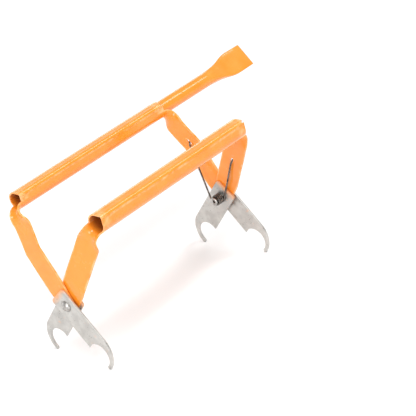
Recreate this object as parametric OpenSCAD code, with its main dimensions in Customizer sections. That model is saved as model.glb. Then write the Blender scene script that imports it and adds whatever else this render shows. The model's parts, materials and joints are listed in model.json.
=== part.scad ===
// Frame grip for lifting frames out of a beehive, with a scraper on its rear grip.
// Two sheet-metal handles cross like scissors on two rivets, one at each end.
// Each handle is one sheet: a rolled grip tube whose lower half runs on past both
// mouths, flattens, and bends down into a flat arm. Each arm carries a hook plate.
// +X runs from the near pivot to the scraper's edge, +Y from the front grip to the
// rear grip, and +Z up. The origin is under the middle of the part, at foot level.
// Inside the modules the pivot axis is the X axis and x = 0 is the near tube mouth.

/* [Grips] */
// Length of each grip tube, mouth to mouth
grip_len = 210; // [190:5:230]
// Thickness of the handles' sheet
sheet_t = 1.5; // [1.3:0.1:1.6]
// Outside radius of the front grip tube
front_r = 10.5; // [10:0.25:11]
// Outside radius of the rear grip tube
rear_r = 9.3; // [9:0.1:9.6]
// Distance from the pivot axis to the front tube's axis
front_reach = 109; // [106:1:114]
// Distance from the pivot axis to the rear tube's axis
rear_reach = 113; // [110:1:116]
// Lean of the front handle from upright, in degrees
front_lean = 31; // [29:1:34]
// Lean of the rear handle from upright, in degrees
rear_lean = 29; // [28:1:32]

/* [Arms] */
// Width of the handles' flat arms
arm_w = 27; // [25:1:28]
// Width of the strip where it leaves a mouth
neck_w = 20; // [18:0.5:22]
// Radius of an arm's end round the pivot
arm_end_r = 11; // [10:0.5:12]
// Distance from a tube's mouth out to the front arm's inner face
front_arm_out = 11.3; // [11:0.1:12]
// Inside radius of the front handle's tight bend at the mouth
front_bend_r = 3.5; // [3:0.25:4]
// Slope of the front arm between its bend and its crease, in degrees
front_slope = 6.5; // [6.5:0.5:8]
// Inside radius of the rear handle's tight bend at the mouth
rear_bend_r = 5.5; // [5:0.25:6.5]
// Slope of the rear arm between its bend and its crease, in degrees
rear_slope = 13; // [12:0.5:14]
// Distance from the pivot to the middle of the front arm's spring slot
front_slot_at = 57; // [54:1:60]
// Distance from the pivot to the middle of the rear arm's spring slot
rear_slot_at = 67; // [65:1:69]

/* [Hook plates] */
// Thickness of the hook plates
plate_t = 2.2; // [2:0.1:2.4]
// Width of a hook plate's shank
plate_w = 26.5; // [25:0.5:28]
// Angle of a hook plate from upright, in degrees
plate_lean = 41; // [39:1:43]
// Distance from the pivot to the plate's top edge
plate_top = 15; // [13:1:16]
// Distance from the pivot to the centre of the hook's outer arc
hook_drop = 50.3; // [48:0.5:52]
// Radius of the hook's outer arc
hook_r = 24.5; // [24:0.5:25]
// Radius of the jaw notch inside the hook
notch_r = 13.2; // [12.8:0.1:13.4]
// Radius of the hook's blunt point
tip_r = 2; // [1.8:0.1:2.2]

/* [Pivots] */
// Diameter of the rivet and of the long pin
rivet_d = 6; // [5:0.5:6.5]
// Diameter of their domed heads
head_d = 12; // [11:0.5:13]
// Height of their domed heads
head_h = 3.2; // [2.5:0.1:3.5]
// Diameter of the spacer washer between the arms
washer_d = 14; // [13:0.5:16]
// Space between the arms at a pivot
arm_gap = 1; // [1:0.1:1.2]
// Running clearance on the radius of each moving bore
running_fit = 0.05; // [0.03:0.01:0.1]

/* [Spring] */
// Wire diameter of the torsion spring
wire_d = 1.8; // [1.6:0.1:1.8]
// Mean radius of the spring's coil
coil_r = 5; // [4.8:0.1:5.4]
// Whole turns of the coil between its legs, beyond the legs' own angle
coil_turns = 3; // [3:1:4]
// Pitch of the coil
coil_pitch = 2.3; // [2.2:0.05:2.4]

/* [Scraper] */
// Length of scraper tube held inside the rear grip
socket_len = 25; // [20:1:40]
// Length of round scraper tube outside the rear grip
shank_len = 76; // [65:1:90]
// Wall of the scraper tube
scraper_wall = 1.3; // [1.1:0.1:1.5]
// Length of the flattened blade
blade_len = 70; // [60:2:80]
// Width of the blade near its edge
blade_w = 27.8; // [26:0.2:30]
// Thickness of the blade at its scraping edge
blade_edge = 0.8; // [0.6:0.1:1.2]

/* [Hidden] */
$fn = 64;

// Grip section: a circle with one folded ridge that points forward and up
ridge_dir = 134;
ridge_out = 1.39;
ridge_in = 0.99;
seam_w = 0.35;

// Layers from a tube mouth outwards, as distances from the mouth plane
front_plate_out = front_arm_out - plate_t;
rear_arm_out = front_arm_out + sheet_t + arm_gap;
rear_plate_out = rear_arm_out + sheet_t;
head_out = rear_plate_out + plate_t;
washer_t = arm_gap - 0.1;

// Skin that keeps a bent neck just inside the tube and the arm that it joins
skin = 0.03;
overlap = 1.5;
neck_sides = 14;
neck_steps = 12;
flatten_len = 12;
slot_len = 7;
slot_w = 3;
slot_cut = 6;
shoulder_turn = 6.4;

// Scraper
scraper_r = rear_r - sheet_t;
scraper_x = grip_len - socket_len;
blade_x = grip_len + shank_len;
blade_lean = 41;
blade_sides = 36;
blade_steps = 21;

// Spring
wire_sides = 10;
coil_step = 15;
split_gap = 14;
leg_start = 3;
leg_gap = 1.2;
leg_bend = 2.6;
leg_tip = 2;
coil_angle = 360 * coil_turns + 180 - rear_lean - front_lean;
coil_gap = 0.3;
coil_x = grip_len + front_plate_out - coil_gap - wire_d / 2;

// Hook outline: offsets of the point and of the notch's centre from the shank's middle
tip_in = 9;
notch_in = 9.5;
plate_corner = 4;
// Clear height over the front plate's top edge, where the front leg may turn outwards
plate_clear = 18;

// Overall box in the pivot frame, and the move to the part's own origin
blade_past_tube = 0.4;
hook_at = [plate_w / 2 - hook_r, -hook_drop];
tip_at = [-tip_in, -(hook_drop + sqrt(pow(hook_r - tip_r, 2) - pow(tip_in + hook_at[0], 2)))];
notch_at = [-notch_in, tip_at[1] + notch_r + tip_r];
foot_drop = -tip_at[1] * cos(plate_lean) - tip_at[0] * sin(plate_lean) + tip_r;
front_grip_y = -front_reach * sin(front_lean);
rear_grip_y = rear_reach * sin(rear_lean);
box_x = [-head_out - head_h, blade_x + blade_len];
box_y = [front_grip_y - front_r, rear_grip_y + rear_r + blade_past_tube];

function ease(u) = u * u * (3 - 2 * u);
function arc(centre, r, from, to, steps) =
    [for (i = [0:steps]) let (a = from + (to - from) * i / steps)
        centre + r * [cos(a), sin(a)]];
function unit(v) = v / norm(v);

// Closed rings of equal, even count, skinned into one solid. Each end is capped
// by triangles between a point and the one across from it on the same ring.
function cap_faces(first, count) =
    [for (i = [0:count / 2 - 2])
        each [[first + i, first + i + 1, first + count - 2 - i],
              [first + i, first + count - 2 - i, first + count - 1 - i]]];
function flipped(faces) = [for (f = faces) [f[2], f[1], f[0]]];
function loft_faces(rings, count) = concat(
    cap_faces(0, count),
    [for (k = [0:rings - 2], i = [0:count - 1])
        let (j = (i + 1) % count)
        each [[k * count + i, (k + 1) * count + i, (k + 1) * count + j],
              [k * count + i, (k + 1) * count + j, k * count + j]]],
    flipped(cap_faces((rings - 1) * count, count)));

module loft(rings) {
    polyhedron(points = [for (ring = rings) each ring],
               faces = loft_faces(len(rings), len(rings[0])), convexity = 6);
}

// Moves a piece from the pivot frame to the part's own origin
module placed() {
    translate([-(box_x[0] + box_x[1]) / 2, -(box_y[0] + box_y[1]) / 2, foot_drop]) children();
}

// Extrudes a Y-Z outline along +X from x
module plate(x, t) {
    translate([x, 0, 0]) rotate([90, 0, 90]) linear_extrude(t) children();
}

// Layer at the near end, and its mirror image at the far end
module near_layer(out, t) {
    plate(-out - t, t) children();
}

module far_layer(out, t) {
    plate(grip_len + out, t) children();
}

// ---- Grip tubes ----

module ridged_disc(r) {
    half = asin(ridge_in / ridge_out);
    foot = ridge_in * r * [sin(half), cos(half)];
    circle(r = r);
    polygon([[0, 0], foot, [ridge_out * r, 0], [foot[0], -foot[1]]]);
}

// Butt seam of the rolled sheet, one sheet thickness in front of the ridge
module seam(r) {
    half = asin(ridge_in / ridge_out);
    translate([ridge_out * r, 0]) rotate(180 - half)
        translate([sheet_t, -sheet_t / 2]) square([seam_w, 2 * sheet_t]);
}

module grip_tube(r, reach, lean) {
    plate(0, grip_len) translate([0, reach]) rotate(ridge_dir - lean)
        difference() {
            ridged_disc(r);
            ridged_disc(r - sheet_t);
            seam(r);
        }
}

// ---- Bent necks: a strip of constant width that leaves a mouth as a trough ----

// One ring of the strip. at is [out, along], turn is its direction below level,
// curl is its curvature across the strip and w is its width.
function strip_ring(at, turn, curl, w) =
    let (half_t = sheet_t / 2 - skin,
         half_w = w / 2 - skin,
         points = [for (side = [1, -1], i = [0:neck_sides])
             let (a = side * half_w * (2 * i / neck_sides - 1),
                  bend = a * curl * 180 / PI,
                  across = curl < 0.001 ? a : sin(bend) / curl,
                  rise = curl < 0.001 ? 0 : (1 - cos(bend)) / curl)
             [across - side * half_t * sin(bend), rise + side * half_t * cos(bend)]])
    [for (p = points) [-(at[0] + p[1] * sin(turn)), p[0], at[1] + p[1] * cos(turn)]];

// A neck is a tight bend at the tube's wall, then a straight slope that ends in a
// crease. bend is the bend's mean radius, top the wall's height and mid_out the arm.
function slope_start(bend, top, slope) =
    [bend * cos(slope), top - bend * (1 - sin(slope))];
function crease_height(bend, top, slope, mid_out) =
    let (from = slope_start(bend, top, slope))
    from[1] - (mid_out - from[0]) / tan(slope);
function bend_len(bend, slope) = bend * (90 - slope) * PI / 180;
function neck_at(bend, top, slope, run) =
    let (turn = run / bend * 180 / PI)
    turn < 90 - slope
        ? [bend * sin(turn), top - bend * (1 - cos(turn))]
        : slope_start(bend, top, slope)
            + (run - bend_len(bend, slope)) * [sin(slope), -cos(slope)];
function neck_rings(mid_r, bend, top, slope, mid_out) =
    let (flat_after = bend_len(bend, slope) + flatten_len,
         crease = crease_height(bend, top, slope, mid_out))
    concat(
        [strip_ring([-overlap, top], 0, 1 / mid_r, neck_w)],
        [for (i = [0:neck_steps]) let (u = i / neck_steps, run = flat_after * u)
            strip_ring(neck_at(bend, top, slope, run),
                       min(90 - slope, run / bend * 180 / PI), (1 - ease(u)) / mid_r,
                       neck_w + (arm_w - neck_w) * ease(u))],
        [strip_ring([mid_out, crease], 90 - slope / 2, 0, arm_w),
         strip_ring([mid_out, crease - overlap], 90, 0, arm_w)]);

front_mid_r = front_r - sheet_t / 2;
front_bend = front_bend_r + sheet_t / 2;
front_top = front_reach - front_mid_r;
front_mid_out = front_arm_out + sheet_t / 2;
front_crease = crease_height(front_bend, front_top, front_slope, front_mid_out);

rear_mid_r = rear_r - sheet_t / 2;
rear_bend = rear_bend_r + sheet_t / 2;
rear_top = rear_reach - rear_mid_r;
rear_mid_out = rear_arm_out + sheet_t / 2;
rear_crease = crease_height(rear_bend, rear_top, rear_slope, rear_mid_out);

module front_neck() {
    loft(neck_rings(front_mid_r, front_bend, front_top, front_slope, front_mid_out));
}

module rear_neck() {
    loft(neck_rings(rear_mid_r, rear_bend, rear_top, rear_slope, rear_mid_out));
}

// ---- Flat arms ----

module arm_outline(top) {
    foot = arm_end_r * [cos(shoulder_turn), -sin(shoulder_turn)];
    polygon([[-arm_w / 2, top], [arm_w / 2, top], [arm_w / 2, 2 * arm_end_r],
             foot, [-foot[0], foot[1]], [-arm_w / 2, 2 * arm_end_r]]);
    circle(r = arm_end_r);
}

module slot_outline(at) {
    translate([-slot_w / 2, at - slot_len / 2 + slot_w / 2])
        square([slot_w, slot_len - slot_w]);
    for (side = [-1, 1])
        translate([0, at + side * (slot_len - slot_w) / 2]) circle(d = slot_w);
}

module arm(top, bore_d) {
    difference() {
        arm_outline(top);
        circle(d = bore_d);
    }
}

// The far arms' spring slots cross their slopes, so they are cut through the lofts
module front_handle() {
    moving_d = rivet_d + 2 * running_fit;
    color("darkorange") placed() rotate([front_lean, 0, 0]) {
        grip_tube(front_r, front_reach, front_lean);
        front_neck();
        near_layer(front_arm_out, sheet_t) arm(front_crease, moving_d);
        difference() {
            union() {
                translate([grip_len, 0, 0]) mirror([1, 0, 0]) front_neck();
                far_layer(front_arm_out, sheet_t) arm(front_crease, moving_d);
            }
            far_layer(front_arm_out - slot_cut, sheet_t + 2 * slot_cut)
                slot_outline(front_slot_at);
        }
    }
}

module rear_handle() {
    color("darkorange") placed() rotate([-rear_lean, 0, 0]) {
        grip_tube(rear_r, rear_reach, -rear_lean);
        rear_neck();
        near_layer(rear_arm_out, sheet_t) arm(rear_crease, rivet_d);
        difference() {
            union() {
                translate([grip_len, 0, 0]) mirror([1, 0, 0]) rear_neck();
                far_layer(rear_arm_out, sheet_t) arm(rear_crease, rivet_d);
            }
            far_layer(rear_arm_out - slot_cut, sheet_t + 2 * slot_cut)
                slot_outline(rear_slot_at);
        }
    }
}

// ---- Hook plates ----

// Outline with its shank along +Y and the hook curling to -X
function hook_outline() =
    let (half = plate_w / 2,
         tip_turn = atan2(tip_at[1] - hook_at[1], tip_at[0] - hook_at[0]),
         notch_turn = atan2(tip_at[1] - notch_at[1], tip_at[0] - notch_at[0]),
         tooth_turn = 180 - acos((half + notch_at[0]) / notch_r))
    concat(
        arc([-half + plate_corner, plate_top - plate_corner], plate_corner, 180, 90, 6),
        arc([half - plate_corner, plate_top - plate_corner], plate_corner, 90, 0, 6),
        arc(hook_at, hook_r, 0, tip_turn, 22),
        arc(tip_at, tip_r, tip_turn, notch_turn - 180, 10),
        arc(notch_at, notch_r, notch_turn, tooth_turn, 26));

module hook_plate(bore_d) {
    rotate(plate_lean) difference() {
        polygon(hook_outline());
        circle(d = bore_d);
    }
}

module front_hook_near() {
    color("silver") placed()
        near_layer(front_plate_out, plate_t) hook_plate(rivet_d + 2 * running_fit);
}

module front_hook_far() {
    color("silver") placed()
        far_layer(front_plate_out, plate_t) hook_plate(rivet_d + 2 * running_fit);
}

module rear_hook_near() {
    color("silver") placed()
        near_layer(rear_plate_out, plate_t) mirror([1, 0]) hook_plate(rivet_d);
}

module rear_hook_far() {
    color("silver") placed()
        far_layer(rear_plate_out, plate_t) mirror([1, 0]) hook_plate(rivet_d);
}

// ---- Rivets and spacers ----

// Turned profile along +X: a shank that runs inwards from a domed head
module domed_pin(shank_len, end_d, end_t) {
    dome_r = (head_h * head_h + head_d * head_d / 4) / (2 * head_h);
    rotate([0, -90, 0]) {
        translate([0, 0, -shank_len]) cylinder(d = rivet_d, h = shank_len + head_h / 2);
        translate([0, 0, -shank_len]) cylinder(d = end_d, h = end_t);
        intersection() {
            cylinder(d = head_d + 1, h = head_h + 1);
            translate([0, 0, head_h - dome_r]) sphere(r = dome_r);
        }
    }
}

module near_rivet() {
    flange_d = 10;
    flange_t = 1.5;
    side_play = 0.15;
    color("gainsboro") placed() translate([-head_out, 0, 0])
        domed_pin(head_out - front_plate_out + side_play + flange_t, flange_d, flange_t);
}

module far_pivot_pin() {
    flange_d = 9;
    flange_t = 1.2;
    bore_d = 3.6;
    bore_len = 5;
    pin_len = grip_len + head_out - coil_x + wire_d + coil_pitch * coil_angle / 360 + flange_t;
    color("gainsboro") placed() translate([grip_len + head_out, 0, 0]) mirror([1, 0, 0])
        difference() {
            domed_pin(pin_len, flange_d, flange_t);
            translate([pin_len - bore_len, 0, 0]) rotate([0, 90, 0])
                cylinder(d = bore_d, h = bore_len + 1);
        }
}

module spacer() {
    difference() {
        circle(d = washer_d);
        circle(d = rivet_d);
    }
}

module near_spacer() {
    color("dimgray") placed() near_layer(rear_arm_out - washer_t, washer_t) spacer();
}

module far_spacer() {
    color("dimgray") placed() far_layer(rear_arm_out - washer_t, washer_t) spacer();
}

// ---- Torsion spring ----

// A wire section at centre, spanned by two unit vectors
function wire_ring(centre, e1, e2) =
    [for (i = [0:wire_sides - 1]) let (a = 360 * i / wire_sides)
        centre + wire_d / 2 * (cos(a) * e1 + sin(a) * e2)];

// Coil section at a turn counted from the front leg
function coil_ring(turn) =
    let (a = 180 + front_lean + turn,
         radial = [0, cos(a), sin(a)])
    wire_ring([coil_x - coil_pitch * turn / 360, 0, 0] + coil_r * radial, radial, [1, 0, 0]);

// Leg of a handle leaning by lean, at a distance s from the pivot. It leaves the coil
// at x = from, on the given side of the arm's centre line, keeps that x up to the
// distance rise_at, comes out to the arm's inner face and turns out through the slot.
function leg_x(from, face, rise_at, bend_at, s) =
    let (to = face - leg_gap)
    s < rise_at ? from
        : s < bend_at ? from + (to - from) * (s - rise_at) / (bend_at - rise_at)
        : to + s - bend_at;
function leg_at(lean, side, from, face, rise_at, slot_at, s) =
    let (across = [0, cos(lean), sin(lean)],
         along = [0, -sin(lean), cos(lean)])
    [leg_x(from, face, rise_at, slot_at - leg_bend, s), 0, 0] + s * along
        + side * coil_r * (1 - s / (slot_at + 2 * leg_tip)) * across;
function leg_rings(lean, side, from, face, rise_at, slot_at) =
    let (across = side * [0, cos(lean), sin(lean)],
         bend_at = slot_at - leg_bend)
    [for (s = [leg_start, 10, plate_clear, 27, 36, 46, bend_at - 2, bend_at - 0.6,
               bend_at + 0.6, slot_at, slot_at + leg_tip])
        let (at = leg_at(lean, side, from, face, rise_at, slot_at, s),
             run = unit(leg_at(lean, side, from, face, rise_at, slot_at, s + 0.5)
                        - leg_at(lean, side, from, face, rise_at, slot_at, s - 0.5)),
             e1 = unit(across - (across * run) * run))
        wire_ring(at, e1, side * cross(e1, run))];

split_turn = 360 * floor(coil_angle / 720) + 180;

// Inner face of a far arm at its slot
function slot_face(slot_at, mid_out, crease, slope) =
    grip_len + mid_out - (slot_at - crease) * tan(slope) - sheet_t / 2;

module spring_front_half() {
    face = slot_face(front_slot_at, front_mid_out, front_crease, front_slope);
    leg = leg_rings(front_lean, -1, coil_x, face, plate_clear, front_slot_at);
    color("gray") placed() loft(concat(
        [for (i = [len(leg) - 1:-1:0]) leg[i]],
        [for (turn = [0:coil_step:split_turn]) coil_ring(turn)]));
}

module spring_rear_half() {
    face = slot_face(rear_slot_at, rear_mid_out, rear_crease, rear_slope);
    end_x = coil_x - coil_pitch * coil_angle / 360;
    leg = leg_rings(-rear_lean, 1, end_x, face, leg_start, rear_slot_at);
    color("gray") placed() loft(concat(
        [for (turn = [split_turn + split_gap:coil_step:coil_angle - 1]) coil_ring(turn)],
        [coil_ring(coil_angle)], leg));
}

// ---- Scraper ----

// Widths and thicknesses of the flattening tube, at shares of the blade's length
blade_widths = [[0, 2 * scraper_r], [0.15 * blade_len, 16], [0.3 * blade_len, 17.8],
                [0.4 * blade_len, 20.5], [0.52 * blade_len, 25.4], [0.63 * blade_len, blade_w],
                [blade_len, blade_w - 0.6]];
blade_thicks = [[0, 2 * scraper_r], [0.15 * blade_len, 13.2], [0.3 * blade_len, 9],
                [0.4 * blade_len, 5.6], [0.52 * blade_len, 3.6], [0.63 * blade_len, 3],
                [0.88 * blade_len, 2.6], [blade_len, blade_edge]];

function blade_ring(run) =
    let (w = lookup(run, blade_widths) / 2 - skin,
         t = lookup(run, blade_thicks) / 2 - skin,
         power = 1 / (1 + 2.2 * ease(min(1, run / (0.5 * blade_len)))))
    [for (i = [0:blade_sides - 1])
        let (a = 360 * (i + 0.5) / blade_sides,
             across = w * sign(cos(a)) * pow(abs(cos(a)), power),
             rise = t * sign(sin(a)) * pow(abs(sin(a)), power))
        [run, across, rise]];

module scraper() {
    color("orange") placed() translate([0, rear_grip_y, rear_reach * cos(rear_lean)]) {
        difference() {
            translate([scraper_x, 0, 0]) rotate([0, 90, 0])
                cylinder(r = scraper_r, h = blade_x - scraper_x);
            translate([scraper_x - 1, 0, 0]) rotate([0, 90, 0])
                cylinder(r = scraper_r - scraper_wall, h = blade_x - scraper_x - 1);
        }
        translate([blade_x, 0, 0]) rotate([90 - blade_lean, 0, 0]) rotate([180, 0, 0])
            loft([for (i = [-1:blade_steps]) blade_ring(blade_len * i / blade_steps)]);
    }
}

rear_handle();
front_handle();
scraper();
rear_hook_near();
rear_hook_far();
front_hook_near();
front_hook_far();
near_rivet();
far_pivot_pin();
near_spacer();
far_spacer();
spring_rear_half();
spring_front_half();
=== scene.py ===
"""Looks of a beehive frame grip: two crossed sheet-metal handles, steel hooks, a spring and a scraper.

Sizes are millimetres in the pivot frame: the pivot axis is the X axis, x = 0 is the mouth
of the grip tubes at the near end, and Z is up. A Place turns them into metres in the row frame.
"""

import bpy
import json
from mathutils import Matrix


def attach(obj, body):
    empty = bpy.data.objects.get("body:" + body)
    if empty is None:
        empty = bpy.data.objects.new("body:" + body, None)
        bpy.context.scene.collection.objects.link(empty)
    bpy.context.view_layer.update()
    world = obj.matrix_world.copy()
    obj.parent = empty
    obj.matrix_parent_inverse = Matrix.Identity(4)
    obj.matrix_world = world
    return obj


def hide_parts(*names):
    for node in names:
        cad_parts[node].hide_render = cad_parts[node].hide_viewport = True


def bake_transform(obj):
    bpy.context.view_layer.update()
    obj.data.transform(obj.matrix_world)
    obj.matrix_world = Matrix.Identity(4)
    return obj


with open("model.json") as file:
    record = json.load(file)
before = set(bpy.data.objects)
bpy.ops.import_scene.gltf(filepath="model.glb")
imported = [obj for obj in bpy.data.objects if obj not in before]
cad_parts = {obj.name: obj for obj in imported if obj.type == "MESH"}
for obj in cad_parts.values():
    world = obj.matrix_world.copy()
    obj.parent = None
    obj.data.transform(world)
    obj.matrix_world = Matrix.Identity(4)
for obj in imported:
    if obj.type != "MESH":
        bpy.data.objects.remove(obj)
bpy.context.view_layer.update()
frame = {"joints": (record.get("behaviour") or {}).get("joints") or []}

import json
import logging
import math
from collections.abc import Callable
from dataclasses import dataclass
from enum import Enum

import bmesh
import bpy
import numpy as np
from mathutils import Matrix, Vector

LOG = logging.getLogger("frame_grip")
MM = 0.001
GRIP_LEN = 210.0
SHEET_T = 1.5
# Distance from a mouth of the grips to the inner face of the front hook plates.
PLATE_IN = 9.1
HOLE_SIDES = 48
REAR_BODY = "rear_handle_set"
FRONT_BODY = "front_handle_set"

Point2 = tuple[float, float]
Point3 = tuple[float, float, float]
Colour = tuple[float, float, float, float]


def ease(u: float) -> float:
    """Smooth step from 0 to 1, held at both ends."""
    u = min(1.0, max(0.0, u))
    return u * u * (3 - 2 * u)


def unit(v: np.ndarray) -> np.ndarray:
    """The vector at length 1."""
    return v / np.linalg.norm(v)


def arc(centre: Point2, radius: float, start: float, stop: float, steps: int) -> list[Point2]:
    """Points along a circular arc.

    Args:
        centre: The circle's centre.
        radius: The circle's radius.
        start: First angle in degrees.
        stop: Last angle in degrees.
        steps: Number of chords.

    Returns:
        steps + 1 points from start to stop.
    """
    angles = [math.radians(start + (stop - start) * i / steps) for i in range(steps + 1)]
    return [(centre[0] + radius * math.cos(a), centre[1] + radius * math.sin(a)) for a in angles]


def hole(diameter: float) -> list[Point2]:
    """Outline of a round hole about the pivot axis."""
    return arc((0, 0), diameter / 2, 0, 360 - 360 / HOLE_SIDES, HOLE_SIDES - 1)


@dataclass(frozen=True)
class Place:
    """Turns millimetres in the pivot frame into metres in the row frame."""

    origin: Vector

    @classmethod
    def from_joint(cls, joint: dict) -> "Place":
        """The place whose pivot axis is the joint's, half a grip back from its point."""
        return cls(Vector(joint["pos_m"]) - Vector((GRIP_LEN / 2 * MM, 0, 0)))

    def matrix(self, lean: float = 0.0, turn_over: bool = False) -> Matrix:
        """The transform of a part that leans about the pivot axis.

        Args:
            lean: Lean in degrees, positive towards the front.
            turn_over: True for the mirror image at the far end.

        Returns:
            A matrix from millimetres in the leaning frame to metres in the row frame.
        """
        flip = Matrix()
        if turn_over:
            flip = Matrix.Translation((GRIP_LEN, 0, 0)) @ Matrix.Scale(-1, 4, (1, 0, 0))
        turn = Matrix.Rotation(math.radians(lean), 4, "X")
        return Matrix.Translation(self.origin) @ Matrix.Scale(MM, 4) @ turn @ flip

    def point(self, x: float, y: float, z: float) -> Vector:
        """A point of the pivot frame in the row frame."""
        return self.matrix() @ Vector((x, y, z))


# ---- Mesh tools ----


def make_object(name: str, points: list, faces: list, matrix: Matrix) -> bpy.types.Object:
    """Makes a mesh object whose place is in its vertices.

    Args:
        name: Name of the piece.
        points: Vertices in millimetres.
        faces: Vertex indices of each face.
        matrix: Transform from the points' frame to the row frame.

    Returns:
        The linked object.
    """
    mesh = bpy.data.meshes.new(name)
    mesh.from_pydata([tuple(map(float, p)) for p in points], [], faces)
    mesh.transform(matrix)
    obj = bpy.data.objects.new(name, mesh)
    bpy.context.scene.collection.objects.link(obj)
    tidy_normals(obj)
    return obj


def tidy_normals(obj: bpy.types.Object) -> None:
    """Points every face outwards.

    Args:
        obj: The piece.
    """
    bm = bmesh.new()
    bm.from_mesh(obj.data)
    bmesh.ops.recalc_face_normals(bm, faces=bm.faces)
    bm.to_mesh(obj.data)
    bm.free()


def apply_modifiers(obj: bpy.types.Object) -> None:
    """Bakes the object's modifiers into its mesh.

    Args:
        obj: The piece.
    """
    graph = bpy.context.evaluated_depsgraph_get()
    mesh = bpy.data.meshes.new_from_object(obj.evaluated_get(graph))
    obj.modifiers.clear()
    obj.data = mesh


def smooth_by_angle(obj: bpy.types.Object, degrees: float = 32.0) -> None:
    """Shades the piece smooth.

    Args:
        obj: The piece.
        degrees: Edges sharper than this stay sharp.
    """
    for polygon in obj.data.polygons:
        polygon.use_smooth = True
    obj.data.set_sharp_from_angle(angle=math.radians(degrees))


def soften_edges(obj: bpy.types.Object, width: float, segments: int = 2, angle: float = 38.0) -> None:
    """Rounds the piece's sharp edges.

    Args:
        obj: The piece.
        width: Width of the rounding in millimetres.
        segments: Faces across the rounding.
        angle: Only edges sharper than this many degrees are rounded.
    """
    bevel = obj.modifiers.new("rounding", "BEVEL")
    bevel.width = width * MM
    bevel.segments = segments
    bevel.limit_method = "ANGLE"
    bevel.angle_limit = math.radians(angle)
    bevel.use_clamp_overlap = True
    apply_modifiers(obj)
    smooth_by_angle(obj)


def cut_out(obj: bpy.types.Object, cutter: bpy.types.Object) -> None:
    """Takes the cutter's shape out of the piece, and removes the cutter.

    Args:
        obj: The piece.
        cutter: The solid to take out.
    """
    boolean = obj.modifiers.new("cut", "BOOLEAN")
    boolean.operation = "DIFFERENCE"
    boolean.solver = "EXACT"
    boolean.object = cutter
    apply_modifiers(obj)
    bpy.data.objects.remove(cutter, do_unlink=True)


def prism(name: str, outline: list, low: float, high: float, matrix: Matrix) -> bpy.types.Object:
    """Makes a solid by pushing a Y-Z outline along X.

    Args:
        name: Name of the piece.
        outline: Points of the outline in order.
        low: First x.
        high: Last x.
        matrix: Transform to the row frame.

    Returns:
        The piece.
    """
    n = len(outline)
    points = [(low, y, z) for y, z in outline] + [(high, y, z) for y, z in outline]
    sides = [(i, (i + 1) % n, n + (i + 1) % n, n + i) for i in range(n)]
    caps = [tuple(range(n)), tuple(range(2 * n - 1, n - 1, -1))]
    return make_object(name, points, [*caps, *sides], matrix)


def ring_faces(rings: int, count: int, closed: bool = False) -> list:
    """Quads between successive rings of points.

    Args:
        rings: Number of rings.
        count: Points on each ring.
        closed: True if the last ring joins the first.

    Returns:
        The faces.
    """
    pairs = [(k, (k + 1) % rings) for k in range(rings if closed else rings - 1)]
    return [(a * count + i, a * count + (i + 1) % count, b * count + (i + 1) % count, b * count + i)
            for a, b in pairs for i in range(count)]


def tube_faces(rings: int, count: int) -> list:
    """Quads between successive rings of points, and a cap on each end.

    Args:
        rings: Number of rings.
        count: Points on each ring.

    Returns:
        The faces.
    """
    last = (rings - 1) * count
    return [*ring_faces(rings, count), tuple(range(count)), tuple(range(last, last + count))]


def lathe(name: str, profile: list, matrix: Matrix, closed: bool = False,
          sides: int = 48) -> bpy.types.Object:
    """Turns a profile of (x, radius) points about the X axis.

    Args:
        name: Name of the piece.
        profile: Points from one end to the other; the ends are capped unless closed.
        matrix: Transform to the row frame.
        closed: True for a ring-shaped piece, whose profile is a loop.
        sides: Points round the axis.

    Returns:
        The piece.
    """
    angles = [2 * math.pi * i / sides for i in range(sides)]
    points = [(x, r * math.cos(a), r * math.sin(a)) for x, r in profile for a in angles]
    faces = ring_faces(len(profile), sides, True) if closed else tube_faces(len(profile), sides)
    return make_object(name, points, faces, matrix)


# ---- Shader tools ----

Value = float | bpy.types.NodeSocket


class Graph:
    """Short calls for building one node tree."""

    def __init__(self, tree: bpy.types.NodeTree) -> None:
        """Keeps the tree that nodes are added to."""
        self.tree = tree

    def add(self, kind: str, inputs: dict | None = None, **settings: object) -> bpy.types.Node:
        """Adds a node.

        Args:
            kind: The node's type name without "ShaderNode", or its whole name.
            inputs: Values or sockets by input name or number.
            settings: Attributes of the node.

        Returns:
            The node.
        """
        whole = kind if kind.startswith(("Shader", "Node")) else "ShaderNode" + kind
        node = self.tree.nodes.new(whole)
        for key, value in settings.items():
            setattr(node, key, value)
        for key, value in (inputs or {}).items():
            if isinstance(value, bpy.types.NodeSocket):
                self.tree.links.new(value, node.inputs[key])
            else:
                node.inputs[key].default_value = value
        return node

    def link(self, value: bpy.types.NodeSocket, target: bpy.types.NodeSocket) -> None:
        """Feeds one socket from another."""
        self.tree.links.new(value, target)

    def math(self, operation: str, a: Value, b: Value) -> bpy.types.NodeSocket:
        """The result of a Math node on two values or sockets."""
        return self.add("Math", {0: a, 1: b}, operation=operation).outputs[0]

    def scaled(self, value: Value, factor: float, offset: float) -> bpy.types.NodeSocket:
        """The value times a factor, plus an offset."""
        return self.add("Math", {0: value, 1: factor, 2: offset}, operation="MULTIPLY_ADD").outputs[0]

    def blend(self, factor: Value, a: object, b: object) -> bpy.types.NodeSocket:
        """The colour between a and b."""
        return self.add("Mix", {0: factor, 6: a, 7: b}, data_type="RGBA").outputs[2]

    def remap(self, value: Value, low: Value, high: Value, to_low: float = 0.0,
              to_high: float = 1.0) -> bpy.types.NodeSocket:
        """The value moved from one range to another, and held inside it."""
        inputs = {0: value, 1: low, 2: high, 3: to_low, 4: to_high}
        return self.add("MapRange", inputs, clamp=True).outputs[0]

    def noise(self, scale: Value, detail: float, vector: Value, rough: float = 0.55) -> bpy.types.NodeSocket:
        """A noise value, at so many features to a metre."""
        inputs = {"Scale": scale, "Detail": detail, "Roughness": rough, "Vector": vector}
        return self.add("TexNoise", inputs).outputs["Fac"]

    def attribute(self, name: str) -> bpy.types.NodeSocket:
        """A value stored on the mesh's points."""
        return self.add("Attribute", attribute_name=name).outputs["Fac"]


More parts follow.
